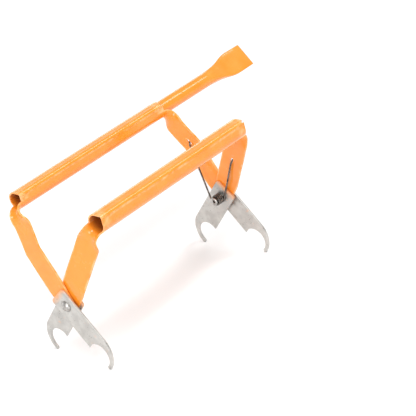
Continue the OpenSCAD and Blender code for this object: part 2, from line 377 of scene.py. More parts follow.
class Effect(Enum):
    """Node groups that more than one finish uses."""

    SURFACE_GRAIN = "surface_grain"
    # Edge mask: real wear on the steels, a painted highlight on the enamel.
    EDGE_WEAR_AND_HIGHLIGHT = "edge_wear_and_highlight"
    SPECKS = "specks"


class EffectLibrary:
    """Builds each shared effect once, as a node group with named sockets."""

    def __init__(self) -> None:
        """Starts with no group built."""
        self.groups: dict[Effect, bpy.types.NodeTree] = {}

    def get(self, effect: Effect) -> bpy.types.NodeTree:
        """Finds the group for an effect, built on first use.

        Args:
            effect: The effect.

        Returns:
            Its node group.
        """
        if effect not in self.groups:
            builders = {
                Effect.SURFACE_GRAIN: self._surface_grain,
                Effect.EDGE_WEAR_AND_HIGHLIGHT: self._edge_wear_and_highlight,
                Effect.SPECKS: self._specks,
            }
            self.groups[effect] = builders[effect]()
        return self.groups[effect]

    def place(self, graph: Graph, effect: Effect, inputs: dict) -> bpy.types.Node:
        """Puts an effect into a material with its own values."""
        return graph.add("Group", inputs, node_tree=self.get(effect))

    @staticmethod
    def _open(effect: Effect, inputs: dict[str, float],
              outputs: list[str]) -> tuple[Graph, bpy.types.Node, bpy.types.Node]:
        """Starts a group.

        Args:
            effect: The effect it holds.
            inputs: Float inputs and their defaults. A Vector input is always there.
            outputs: Float outputs.

        Returns:
            The graph, and its input and output nodes.
        """
        tree = bpy.data.node_groups.new(effect.value, "ShaderNodeTree")
        tree.interface.new_socket(name="Vector", in_out="INPUT", socket_type="NodeSocketVector")
        for name, value in inputs.items():
            socket = tree.interface.new_socket(name=name, in_out="INPUT", socket_type="NodeSocketFloat")
            socket.default_value = value
        for name in outputs:
            tree.interface.new_socket(name=name, in_out="OUTPUT", socket_type="NodeSocketFloat")
        graph = Graph(tree)
        return graph, graph.add("NodeGroupInput"), graph.add("NodeGroupOutput")

    def _surface_grain(self) -> bpy.types.NodeTree:
        """Fine and coarse unevenness.

        Returns:
            A group with Height for bump and Patch for broad changes of colour and roughness.
        """
        inputs = {"Fine Scale": 900.0, "Patch Scale": 60.0, "Mix": 0.3}
        graph, inp, out = self._open(Effect.SURFACE_GRAIN, inputs, ["Height", "Patch"])
        fine = graph.noise(inp.outputs["Fine Scale"], 4.0, inp.outputs["Vector"])
        patch = graph.noise(inp.outputs["Patch Scale"], 3.0, inp.outputs["Vector"])
        share = graph.math("MULTIPLY", patch, inp.outputs["Mix"])
        graph.link(graph.math("ADD", fine, share), out.inputs["Height"])
        graph.link(graph.remap(patch, 0.35, 0.65), out.inputs["Patch"])
        return graph.tree

    def _edge_wear_and_highlight(self) -> bpy.types.NodeTree:
        """Convex edges, broken up by noise: real wear on the steels, a painted highlight on the enamel.

        Returns:
            A group with a Mask that is 1 on those edges.
        """
        inputs = {"Low": 0.55, "High": 0.7, "Break Scale": 350.0}
        graph, inp, out = self._open(Effect.EDGE_WEAR_AND_HIGHLIGHT, inputs, ["Mask"])
        edge = graph.add("NewGeometry").outputs["Pointiness"]
        span = graph.remap(edge, inp.outputs["Low"], inp.outputs["High"])
        broken = graph.remap(graph.noise(inp.outputs["Break Scale"], 3.0, inp.outputs["Vector"]), 0.4, 0.62)
        graph.link(graph.math("MULTIPLY", span, broken), out.inputs["Mask"])
        return graph.tree

    def _specks(self) -> bpy.types.NodeTree:
        """Sparse small specks, as from pits, dust or stray paint.

        Returns:
            A group with a Mask that is 1 on the specks.
        """
        inputs = {"Scale": 400.0, "Size": 0.16, "Spread": 40.0}
        graph, inp, out = self._open(Effect.SPECKS, inputs, ["Mask"])
        where = inp.outputs["Vector"]
        cells = graph.add("TexVoronoi", {"Scale": inp.outputs["Scale"], "Vector": where}).outputs["Distance"]
        dots = graph.math("LESS_THAN", cells, inp.outputs["Size"])
        areas = graph.remap(graph.noise(inp.outputs["Spread"], 2.0, where), 0.52, 0.6)
        graph.link(graph.math("MULTIPLY", dots, areas), out.inputs["Mask"])
        return graph.tree


@dataclass(frozen=True)
class Finish:
    """Shared start of every finish: a Principled shader on object coordinates."""

    effects: EffectLibrary

    def start(self, name: str) -> tuple[bpy.types.Material, Graph, bpy.types.Node, bpy.types.NodeSocket]:
        """Makes an empty material.

        Args:
            name: Name of the material.

        Returns:
            The material, its graph, its Principled node and the object coordinates.
        """
        material = bpy.data.materials.new(name)
        material.use_nodes = True
        graph = Graph(material.node_tree)
        shader = material.node_tree.nodes["Principled BSDF"]
        return material, graph, shader, graph.add("TexCoord").outputs["Object"]

    def grain(self, graph: Graph, where: bpy.types.NodeSocket, fine: float, patch: float,
              mix: float) -> bpy.types.Node:
        """The surface grain, at this finish's scales."""
        inputs = {"Vector": where, "Fine Scale": fine, "Patch Scale": patch, "Mix": mix}
        return self.effects.place(graph, Effect.SURFACE_GRAIN, inputs)

    def edge_wear_and_highlight(self, graph: Graph, where: bpy.types.NodeSocket, low: float, high: float,
                  scale: float) -> bpy.types.NodeSocket:
        """Mask of the edges for this finish: wear on steel, a painted highlight on enamel."""
        inputs = {"Vector": where, "Low": low, "High": high, "Break Scale": scale}
        return self.effects.place(graph, Effect.EDGE_WEAR_AND_HIGHLIGHT, inputs).outputs["Mask"]

    def specks(self, graph: Graph, where: bpy.types.NodeSocket, scale: float, size: float,
               spread: float) -> bpy.types.NodeSocket:
        """Mask of the specks, for this finish."""
        inputs = {"Vector": where, "Scale": scale, "Size": size, "Spread": spread}
        return self.effects.place(graph, Effect.SPECKS, inputs).outputs["Mask"]

    def bump(self, graph: Graph, shader: bpy.types.Node, height: bpy.types.NodeSocket, strength: float,
             distance: float) -> None:
        """Gives the shader a bump from a height."""
        node = graph.add("Bump", {"Strength": strength, "Distance": distance, "Height": height})
        graph.link(node.outputs[0], shader.inputs["Normal"])


@dataclass(frozen=True)
class GlossEnamel(Finish):
    """Orange stoving enamel: glossy, slightly uneven, with a painted highlight on its edges and painted
    shade inside the grip tubes.
    """

    colour: Colour = (0.90, 0.262, 0.016, 1.0)
    thin: Colour = (0.92, 0.295, 0.026, 1.0)
    # Dark brown of the specks, and of the painted shade inside the grip tubes.
    speck_and_bore_shade: Colour = (0.30, 0.065, 0.010, 1.0)
    # Lighter orange of the painted highlight on the edges, and below it the highlight's strength.
    edge: Colour = (0.98, 0.56, 0.26, 1.0)
    edge_highlight_strength: float = 0.6

    def build(self, name: str) -> bpy.types.Material:
        """Builds the material.

        Args:
            name: Name of the material.

        Returns:
            The material.
        """
        material, graph, shader, where = self.start(name)
        grain = self.grain(graph, where, fine=420.0, patch=55.0, mix=0.9)
        worn_and_lit_edges = self.edge_wear_and_highlight(graph, where, low=0.53, high=0.62, scale=120.0)
        specks = self.specks(graph, where, scale=330.0, size=0.1, spread=38.0)
        paint = graph.blend(grain.outputs["Patch"], self.colour, self.thin)
        # Painted highlight: the convex edges turn lighter orange.
        paint = graph.blend(graph.math("MULTIPLY", worn_and_lit_edges, self.edge_highlight_strength), paint, self.edge)
        # Painted shade on the bore side of the grip tubes, joined with the real dark specks; both darken
        # towards the dark brown.
        inside = graph.math("MULTIPLY", graph.attribute("inside"), 0.8)
        marks = graph.math("MAXIMUM", inside, graph.math("MULTIPLY", specks, 0.45))
        rough = graph.remap(grain.outputs["Patch"], 0.0, 1.0, 0.2, 0.28)
        rough = graph.math("ADD", rough, graph.math("MULTIPLY", marks, 0.3))
        graph.link(graph.blend(marks, paint, self.speck_and_bore_shade), shader.inputs["Base Color"])
        graph.link(rough, shader.inputs["Roughness"])
        self.bump(graph, shader, grain.outputs["Height"], strength=0.05, distance=0.0003)
        shader.inputs["Coat Weight"].default_value = 0.45
        shader.inputs["Coat Roughness"].default_value = 0.12
        shader.inputs["Specular IOR Level"].default_value = 0.35
        return material


@dataclass(frozen=True)
class PlateSteel(Finish):
    """Bare rolled plate with orange overspray near its top and a few stains and pits."""

    light: Colour = (0.60, 0.585, 0.555, 1.0)
    dark: Colour = (0.51, 0.495, 0.47, 1.0)
    spray: Colour = (0.93, 0.34, 0.035, 1.0)
    pit: Colour = (0.10, 0.075, 0.055, 1.0)
    rubbed: Colour = (0.80, 0.79, 0.76, 1.0)
    spray_from: float = 8.5
    spray_to: float = 17.0
    ragged: float = 9.0
    metallic: float = 0.8

    def build(self, name: str) -> bpy.types.Material:
        """Builds the material.

        Args:
            name: Name of the material.

        Returns:
            The material.
        """
        material, graph, shader, where = self.start(name)
        grain = self.grain(graph, where, fine=1400.0, patch=110.0, mix=0.5)
        worn_and_lit_edges = self.edge_wear_and_highlight(graph, where, low=0.54, high=0.66, scale=500.0)
        specks = self.specks(graph, where, scale=520.0, size=0.2, spread=120.0)
        steel = graph.blend(grain.outputs["Patch"], self.light, self.dark)
        steel = graph.blend(graph.math("MULTIPLY", worn_and_lit_edges, 0.6), steel, self.rubbed)
        steel = graph.blend(graph.math("MULTIPLY", specks, 0.75), steel, self.pit)
        ragged = graph.scaled(graph.noise(150.0, 5.0, where, 0.65), self.ragged, -self.ragged / 2)
        height = graph.math("ADD", graph.attribute("plate_along"), ragged)
        spray = graph.remap(height, self.spray_from, self.spray_to)
        drops = graph.remap(graph.noise(90.0, 4.0, where, 0.7), 0.63, 0.70)
        spray = graph.math("MAXIMUM", spray, graph.math("MULTIPLY", drops, 0.3))
        graph.link(graph.blend(spray, steel, self.spray), shader.inputs["Base Color"])
        graph.link(graph.scaled(spray, -self.metallic, self.metallic), shader.inputs["Metallic"])
        graph.link(graph.remap(grain.outputs["Patch"], 0.0, 1.0, 0.36, 0.5), shader.inputs["Roughness"])
        self.bump(graph, shader, grain.outputs["Height"], strength=0.18, distance=0.0003)
        return material


@dataclass(frozen=True)
class TurnedSteel(Finish):
    """Plain steel of rivets, washers or spring wire."""

    light: Colour = (0.60, 0.585, 0.56, 1.0)
    dark: Colour = (0.30, 0.28, 0.26, 1.0)
    rubbed: Colour = (0.75, 0.74, 0.72, 1.0)
    roughness: float = 0.32
    roughness_spread: float = 0.14

    def build(self, name: str) -> bpy.types.Material:
        """Builds the material.

        Args:
            name: Name of the material.

        Returns:
            The material.
        """
        material, graph, shader, where = self.start(name)
        grain = self.grain(graph, where, fine=1800.0, patch=260.0, mix=0.6)
        worn_and_lit_edges = self.edge_wear_and_highlight(graph, where, low=0.53, high=0.62, scale=700.0)
        body = graph.blend(grain.outputs["Patch"], self.light, self.dark)
        colour = graph.blend(graph.math("MULTIPLY", worn_and_lit_edges, 0.5), body, self.rubbed)
        roughest = self.roughness + self.roughness_spread
        graph.link(colour, shader.inputs["Base Color"])
        rough = graph.remap(grain.outputs["Patch"], 0.0, 1.0, self.roughness, roughest)
        graph.link(rough, shader.inputs["Roughness"])
        self.bump(graph, shader, grain.outputs["Height"], strength=0.15, distance=0.0002)
        shader.inputs["Metallic"].default_value = 1.0
        return material


@dataclass(frozen=True)
class PaleFloor(Finish):
    """Matt white surface under the tool."""

    colour: Colour = (0.92, 0.92, 0.92, 1.0)

    def build(self, name: str) -> bpy.types.Material:
        """Builds the material.

        Args:
            name: Name of the material.

        Returns:
            The material.
        """
        material, graph, shader, where = self.start(name)
        grain = self.grain(graph, where, fine=90.0, patch=6.0, mix=0.2)
        graph.link(graph.remap(grain.outputs["Patch"], 0.0, 1.0, 0.8, 0.9), shader.inputs["Roughness"])
        shader.inputs["Base Color"].default_value = self.colour
        return material


def dress(obj: bpy.types.Object, material: bpy.types.Material, slot: str, body: str, *nodes: str) -> None:
    """Gives a piece its material, its body and the CAD nodes that it stands for.

    Args:
        obj: The piece.
        material: Its finish.
        slot: The record's material slot.
        body: The body that it rides on, or "" for none.
        nodes: CAD nodes that it replaces.
    """
    obj.data.materials.clear()
    obj.data.materials.append(material)
    if body:
        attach(obj, body)
    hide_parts(*nodes)
    LOG.info("%s: %d faces, slot %s", obj.name, len(obj.data.polygons), slot)


# ---- Handles ----

FLANK_TURNS = (14.0, 23.0, 31.0, 37.5)


@dataclass
class SheetHandle:
    """One sheet: a rolled grip tube, two bent necks and two flat arms.

    The ridge is a fold along the tube; FLANK_TURNS are the turns from it, in degrees, of
    the points on its flanks.
    """

    place: Place
    name: str
    body: str
    radius: float
    reach: float
    lean: float
    arm_out: float
    slot_at: float
    arm_w: float = 27.0
    end_r: float = 11.0
    bore_d: float = 6.1
    bend_r: float = 6.25
    slope: float = 13.0
    flatten_len: float = 12.0
    ridge_dir: float = 134.0
    ridge_out: float = 1.39
    ridge_in: float = 0.99
    seam_gap: float = 0.15
    fold_r: float = 2.6
    neck_w: float = 20.0
    strip_cols: int = 28
    tube_rows: int = 30
    neck_rows: int = 28
    slope_rows: int = 14
    shoulder_rows: int = 5
    end_step: float = 7.9
    slot_w: float = 3.0
    slot_len: float = 7.0
    nick_out: float = 1.22
    nick_r: float = 1.5
    nick_len: float = 2.2
    rim_r: float = 0.55

    @property
    def mid_r(self) -> float:
        """Radius of the sheet's middle round the tube."""
        return self.radius - SHEET_T / 2

    @property
    def mid_out(self) -> float:
        """Distance from the mouth plane to the middle of the flat arm."""
        return self.arm_out + SHEET_T / 2

    def tube_radius(self, turn: float) -> float:
        """Finds how far the sheet's middle is from the tube's axis.

        Args:
            turn: Turn from the ridge in degrees.

        Returns:
            The distance.
        """
        away = abs((turn + 180) % 360 - 180)
        flat = self.ridge_in * self.radius - SHEET_T / 2
        normal = 90 - math.degrees(math.asin(self.ridge_in / self.ridge_out))
        return max(self.mid_r, flat / math.cos(math.radians(normal - away))) if away < normal else self.mid_r

    def section(self) -> tuple[list[Point2], int]:
        """Middle line of the tube's section, from one edge of the seam round to the other.

        Returns:
            Points across and along the arm from the tube's axis, and the first index
            of the columns that run on into the necks.
        """
        half = math.asin(self.ridge_in / self.ridge_out)
        down = -90 - (self.ridge_dir - self.lean)
        spread = math.degrees(self.neck_w / 2 / self.mid_r)
        strip = [down + spread * (1 - 2 * j / self.strip_cols) for j in range(self.strip_cols + 1)]
        before = [-t for t in FLANK_TURNS]
        steps = max(2, round((before[-1] - strip[0]) / 7))
        before += [before[-1] + (strip[0] - before[-1]) * i / steps for i in range(1, steps)]
        after = [t - 360 for t in reversed(FLANK_TURNS) if t - 360 < strip[-1] - 3]
        gap = strip[-1] - after[0] if after else 0.0
        steps = max(1, round(gap / 7))
        between = [strip[-1] - gap * i / steps for i in range(1, steps)]
        tilt = math.radians(self.ridge_dir - self.lean)

        def placed(x: float, y: float) -> Point2:
            """A point of the ridge's frame, turned into the arm's."""
            return x * math.cos(tilt) - y * math.sin(tilt), x * math.sin(tilt) + y * math.cos(tilt)

        corner = (self.ridge_in * self.radius - SHEET_T / 2) / math.sin(half)
        tangent = self.fold_r / math.tan(half) + 0.25
        first = placed(corner - tangent * math.cos(half), tangent * math.sin(half))
        run = tangent + self.seam_gap
        last = placed(corner - run * math.cos(half), run * math.sin(half))
        open_turn = 90 - math.degrees(half)
        fold_mid = (corner - self.fold_r / math.sin(half), 0)
        fold = [placed(x, y) for x, y in arc(fold_mid, self.fold_r, open_turn, -open_turn, 7)]
        polar = [(self.tube_radius(t), math.radians(t)) for t in before + strip + between + after]
        wall = [placed(r * math.cos(a), r * math.sin(a)) for r, a in polar]
        return [first, *fold, *wall, last], 1 + len(fold) + len(before)

    @property
    def top(self) -> float:
        """Distance from the pivot to the middle of the tube's lower wall."""
        return self.reach - self.mid_r

    @property
    def slope_from(self) -> Point2:
        """(out, along) where the tight bend ends."""
        a = math.radians(self.slope)
        return self.bend_r * math.cos(a), self.top - self.bend_r * (1 - math.sin(a))

    @property
    def crease(self) -> float:
        """Distance from the pivot to the crease that ends the slope."""
        return self.slope_from[1] - (self.mid_out - self.slope_from[0]) / math.tan(math.radians(self.slope))

    @property
    def slot_face(self) -> float:
        """x of the far arm's inner face at the spring's slot."""
        back = (self.slot_at - self.crease) * math.tan(math.radians(self.slope))
        return GRIP_LEN + self.mid_out - back - SHEET_T / 2

    def neck_row(self, run: float, bend_len: float) -> Point3:
        """Follows the tight bend and the slope.

        Args:
            run: Length of sheet from the mouth.
            bend_len: Length of sheet in the bend.

        Returns:
            (out, along, turn in degrees) there.
        """
        if run <= bend_len:
            a = run / self.bend_r
            return self.bend_r * math.sin(a), self.top - self.bend_r * (1 - math.cos(a)), math.degrees(a)
        a, step = math.radians(self.slope), run - bend_len
        out, along = self.slope_from
        return out + step * math.sin(a), along - step * math.cos(a), 90 - self.slope

    def stations(self) -> list[tuple[float, float, float, float, float]]:
        """Rows of the strip beyond a mouth.

        Returns:
            (out, along, turn in degrees, curl, half width) for each row.
        """
        wide = self.arm_w / 2
        bend_len = self.bend_r * math.radians(90 - self.slope)
        flat_after = bend_len + self.flatten_len
        rows = []
        for i in range(1, self.neck_rows + 1):
            u = i / self.neck_rows
            curl = (1 - ease(u)) / self.mid_r
            rows.append((*self.neck_row(flat_after * u, bend_len), curl, self.neck_width(u)))
        here = rows[-1]
        for i in range(1, self.slope_rows):
            u = i / self.slope_rows
            at = (here[0] + (self.mid_out - here[0]) * u, here[1] + (self.crease - here[1]) * u)
            rows.append((*at, 90 - self.slope, 0.0, wide))
        rows.append((self.mid_out, self.crease, 90 - self.slope / 2, 0.0, wide))
        shoulder = 2 * self.end_r
        steps = max(2, round((self.crease - shoulder) / 4))
        for i in range(1, steps + 1):
            rows.append((self.mid_out, self.crease + (shoulder - self.crease) * i / steps, 90.0, 0.0, wide))
        for i in range(1, self.shoulder_rows + 1):
            narrower = wide + (self.end_r - wide) * i / self.shoulder_rows
            rows.append((self.mid_out, shoulder * (1 - i / self.shoulder_rows), 90.0, 0.0, narrower))
        for i in range(1, 12):
            a = math.radians(self.end_step * i)
            rows.append((self.mid_out, -self.end_r * math.sin(a), 90.0, 0.0, self.end_r * math.cos(a)))
        return rows

    def neck_width(self, u: float) -> float:
        """Half width of the strip at a share of the neck's length."""
        return self.neck_w / 2 + (self.arm_w - self.neck_w) / 2 * ease(u)

    def unevenness(self, across: float, along: float) -> float:
        """Small outward dents and waves left by pressing.

        Args:
            across: Place across the arm.
            along: Distance from the pivot.

        Returns:
            The rise in millimetres.
        """
        wave = 0.10 * math.sin(along / 7.0 + across / 9.0) + 0.07 * math.sin(along / 3.7 - across / 5.0)
        fade = ease((along - 20) / 25)
        return wave * fade

    def strip_row(self, row: tuple[float, float, float, float, float]) -> list[Point3]:
        """Lays out one row of the strip.

        Args:
            row: (out, along, turn in degrees, curl, half width).

        Returns:
            Middle points from the rear edge to the front edge.
        """
        out, along, turn, curl, wide = row
        sin_t, cos_t = math.sin(math.radians(turn)), math.cos(math.radians(turn))
        points = []
        for j in range(self.strip_cols + 1):
            a = wide * (1 - 2 * j / self.strip_cols)
            across = math.sin(a * curl) / curl if curl > 1e-4 else a
            rise = (1 - math.cos(a * curl)) / curl if curl > 1e-4 else 0.0
            rise += self.unevenness(across, along)
            points.append((-(out + rise * sin_t), across, along + rise * cos_t))
        return points

    def middle_sheet(self) -> tuple[list, list]:
        """Builds the sheet's middle surface.

        Returns:
            Its points and faces, in the arm's frame.
        """
        section, first = self.section()
        count = len(section)
        xs = [GRIP_LEN * i / self.tube_rows for i in range(self.tube_rows + 1)]
        points = [(x, p[0], self.reach + p[1]) for x in xs for p in section]
        faces = [(k * count + i, k * count + i + 1, (k + 1) * count + i + 1, (k + 1) * count + i)
                 for k in range(len(xs) - 1) for i in range(count - 1)]
        rows = [self.strip_row(r) for r in self.stations()]
        ideal = self.strip_row((0.0, self.reach - self.mid_r, 0.0, 1 / self.mid_r, self.neck_w / 2))
        columns = section[first:first + self.strip_cols + 1]
        mouth = [(0.0, across, self.reach + along) for across, along in columns]
        for side in (0, 1):
            base = 0 if side == 0 else (len(xs) - 1) * count
            above = [base + first + j for j in range(self.strip_cols + 1)]
            for k, row in enumerate(rows):
                keep = 1 - ease(2 * (k + 1) / self.neck_rows)
                here = []
                for j, p in enumerate(row):
                    shift = [keep * (mouth[j][c] - ideal[j][c]) for c in (1, 2)]
                    x = p[0] if side == 0 else GRIP_LEN - p[0]
                    here.append(len(points))
                    points.append((x, p[1] + shift[0], p[2] + shift[1]))
                faces += [(above[j], above[j + 1], here[j + 1], here[j]) for j in range(self.strip_cols)]
                above = here
        return points, faces

    def slot_outline(self) -> list[Point2]:
        """Draws the slot that takes the spring's leg.

        Returns:
            Its outline.
        """
        end_r, reach = self.slot_w / 2, (self.slot_len - self.slot_w) / 2
        upper = arc((0, self.slot_at + reach), end_r, 0, 180, 10)
        return [*upper, *arc((0, self.slot_at - reach), end_r, 180, 360, 10)]

    def mark_inside(self, obj: bpy.types.Object, matrix: Matrix) -> None:
        """Marks the points on the bore side of the grip tube, which the enamel darkens as painted shade.

        Args:
            obj: The handle.
            matrix: Transform from the arm's frame to the row frame.
        """
        back = matrix.inverted()
        marks = []
        for vertex in obj.data.vertices:
            at = back @ vertex.co
            deep = min(at.x, GRIP_LEN - at.x)
            near = math.hypot(at.y, at.z - self.reach) < self.mid_r
            marks.append(ease(deep / 1.5) if near else 0.0)
        attribute = obj.data.attributes.new("inside", "FLOAT", "POINT")
        attribute.data.foreach_set("value", marks)

    def open_fold(self, obj: bpy.types.Object, matrix: Matrix) -> None:
        """Nicks the fold at the far mouth, where the sheet gapes a little.

        Args:
            obj: The handle.
            matrix: Transform from the arm's frame to the row frame.
        """
        tilt = math.radians(self.ridge_dir - self.lean)
        out = self.nick_out * self.radius
        at = (out * math.cos(tilt), self.reach + out * math.sin(tilt))
        outline = arc(at, self.nick_r, 0, 330, 11)
        cut_out(obj, prism("cut", outline, GRIP_LEN - self.nick_len, GRIP_LEN + 1, matrix))

    def build(self, material: bpy.types.Material) -> bpy.types.Object:
        """Builds and dresses the handle.

        Args:
            material: Its enamel.

        Returns:
            The handle.
        """
        matrix = self.place.matrix(self.lean)
        points, faces = self.middle_sheet()
        obj = make_object(self.name, points, faces, matrix)
        solid = obj.modifiers.new("sheet", "SOLIDIFY")
        solid.thickness = SHEET_T * MM
        solid.offset = 0.0
        solid.use_even_offset = True
        solid.use_rim = True
        apply_modifiers(obj)
        past = 30
        cut_out(obj, prism("cut", hole(self.bore_d), -past, GRIP_LEN + past, matrix))
        cut_out(obj, prism("cut", self.slot_outline(), GRIP_LEN + 1, GRIP_LEN + past, matrix))
        self.open_fold(obj, matrix)
        soften_edges(obj, self.rim_r, 3)
        self.mark_inside(obj, matrix)
        dress(obj, material, "orange_paint", self.body, self.name.replace("_shell", ""))
        return obj


# ---- Hook plates ----


@dataclass
class HookPlate:
    """A steel plate with a curled hook, spot-welded to an arm."""

    place: Place
    name: str
    body: str
    node: str
    inner_out: float
    mirrored: bool
    far: bool
    width: float = 26.5
    top: float = 15.0
    lean: float = 41.0
    thickness: float = 2.2
    hook_r: float = 24.5
    hook_drop: float = 50.3
    notch_r: float = 13.2
    tip_r: float = 2.0
    tip_y: float = -9.0
    notch_y: float = -9.5
    corner_r: float = 4.0
    bore_d: float = 6.1

    def outline(self) -> list[Point2]:
        """Draws the plate.

        Returns:
            Its outline, with the shank along +Z and the hook curling to -Y.
        """
        half, corner = self.width / 2, self.corner_r
        hook = (half - self.hook_r, -self.hook_drop)
        tip_side = self.tip_y - hook[0]
        tip = (self.tip_y, -(self.hook_drop + math.sqrt((self.hook_r - self.tip_r) ** 2 - tip_side**2)))
        notch = (self.notch_y, tip[1] + self.notch_r + self.tip_r)
        tip_turn = math.degrees(math.atan2(tip[1] - hook[1], tip[0] - hook[0]))
        notch_turn = math.degrees(math.atan2(tip[1] - notch[1], tip[0] - notch[0]))
        tooth_turn = 180 - math.degrees(math.acos((half + notch[0]) / self.notch_r))
        return [*arc((-half + corner, self.top - corner), corner, 180, 90, 8),
                *arc((half - corner, self.top - corner), corner, 90, 0, 8),
                *arc(hook, self.hook_r, 0, tip_turn, 36),
                *arc(tip, self.tip_r, tip_turn, notch_turn - 180, 14)[1:],
                *arc(notch, self.notch_r, notch_turn, tooth_turn, 44)[1:]]

    def build(self, material: bpy.types.Material) -> bpy.types.Object:
        """Builds and dresses the plate.

        Args:
            material: Its steel.

        Returns:
            The plate.
        """
        side = -1 if self.mirrored else 1
        matrix = self.place.matrix(side * self.lean, self.far)
        outline = [(side * y, z) for y, z in self.outline()]
        low, high = -self.inner_out - self.thickness, -self.inner_out
        obj = prism(self.name, outline, low, high, matrix)
        cut_out(obj, prism("cut", hole(self.bore_d), low - 1, high + 1, matrix))
        soften_edges(obj, 0.3)
        self.mark_along(obj, matrix)
        dress(obj, material, "hook_steel", self.body, self.node)
        return obj

    def mark_along(self, obj: bpy.types.Object, matrix: Matrix) -> None:
        """Stores each point's height above the pivot along the plate, in millimetres.

        Args:
            obj: The plate.
            matrix: Transform from the plate's frame to the row frame.
        """
        back = matrix.inverted()
        attribute = obj.data.attributes.new("plate_along", "FLOAT", "POINT")
        attribute.data.foreach_set("value", [(back @ v.co).z for v in obj.data.vertices])


# ---- Pivots ----


@dataclass
class Pivots:
    """The near rivet, the far pin and the washers between the arms."""

    place: Place
    head_out: float = 17.5
    head_d: float = 12.0
    head_h: float = 3.2
    shank_d: float = 6.0
    peen_gap: float = 0.15
    washer_out: float = 13.8
    washer_t: float = 0.9
    washer_r: float = 7.0
    washer_edge: float = 0.12

    def head_profile(self) -> list[Point2]:
        """Draws the domed head.

        Returns:
            (x, radius) points from its crown to the shank.
        """
        dome_r = (self.head_h**2 + self.head_d**2 / 4) / (2 * self.head_h)
        reach = math.degrees(math.asin(self.head_d / 2 / dome_r))
        turns = [math.radians(a) for a in [0.5, *[reach * i / 14 for i in range(1, 14)], reach * 0.985]]
        crown = [(-(dome_r * math.cos(a) - dome_r + self.head_h), dome_r * math.sin(a)) for a in turns]
        return [*crown, (-0.25, self.head_d / 2), (0.0, self.head_d / 2 - 0.15), (0.0, self.shank_d / 2)]

    def turned(self, name: str, end: float, tail: list[Point2], far: bool) -> bpy.types.Object:
        """Turns a domed head, a shank and a worked end.

        Args:
            name: Name of the piece.
            end: x of the end, from the arm's outer face.
            tail: (x past the end, radius) points of the worked end.
            far: True for the far pivot.

        Returns:
            The piece.
        """
        profile = [*self.head_profile(), *[(end + x, q) for x, q in tail]]
        return lathe(name, [(x - self.head_out, q) for x, q in profile], self.place.matrix(0, far))

    def near_rivet(self) -> bpy.types.Object:
        """Builds the rivet, with a peened flange at its inner end.

        Returns:
            The rivet.
        """
        end = self.head_out - PLATE_IN + self.peen_gap
        flange = [(0.0, self.shank_d / 2), (0.1, 4.7), (0.5, 5.0), (1.0, 4.7), (1.4, 3.2),
                  (1.5, 1.2), (1.25, 0.05)]
        return self.turned("near_rivet_body", end, flange, False)

    def far_pin(self, length: float) -> bpy.types.Object:
        """Builds the long pin, with a flared hollow end inside the spring.

        Args:
            length: Its length under the head.

        Returns:
            The pin.
        """
        flare = [(-1.2, self.shank_d / 2), (-1.1, 4.2), (-0.8, 4.5), (-0.3, 4.45), (0.0, 4.0)]
        hollow = [(0.0, 2.3), (-0.6, 1.8), (-5.0, 1.75), (-5.6, 0.05)]
        return self.turned("far_pin_body", length, [*flare, *hollow], True)

    def washer(self, name: str, far: bool) -> bpy.types.Object:
        """Builds a thin washer between the arms.

        Args:
            name: Name of the piece.
            far: True for the far pivot.

        Returns:
            The washer.
        """
        start, edge = -self.washer_out, self.washer_edge
        stop = start + self.washer_t
        inner, outer = self.shank_d / 2, self.washer_r
        profile = [(start + edge, outer), (start, outer - edge), (start, inner),
                   (stop, inner), (stop, outer - edge), (stop - edge, outer)]
        return lathe(name, profile, self.place.matrix(0, far), closed=True)


# ---- Torsion spring ----


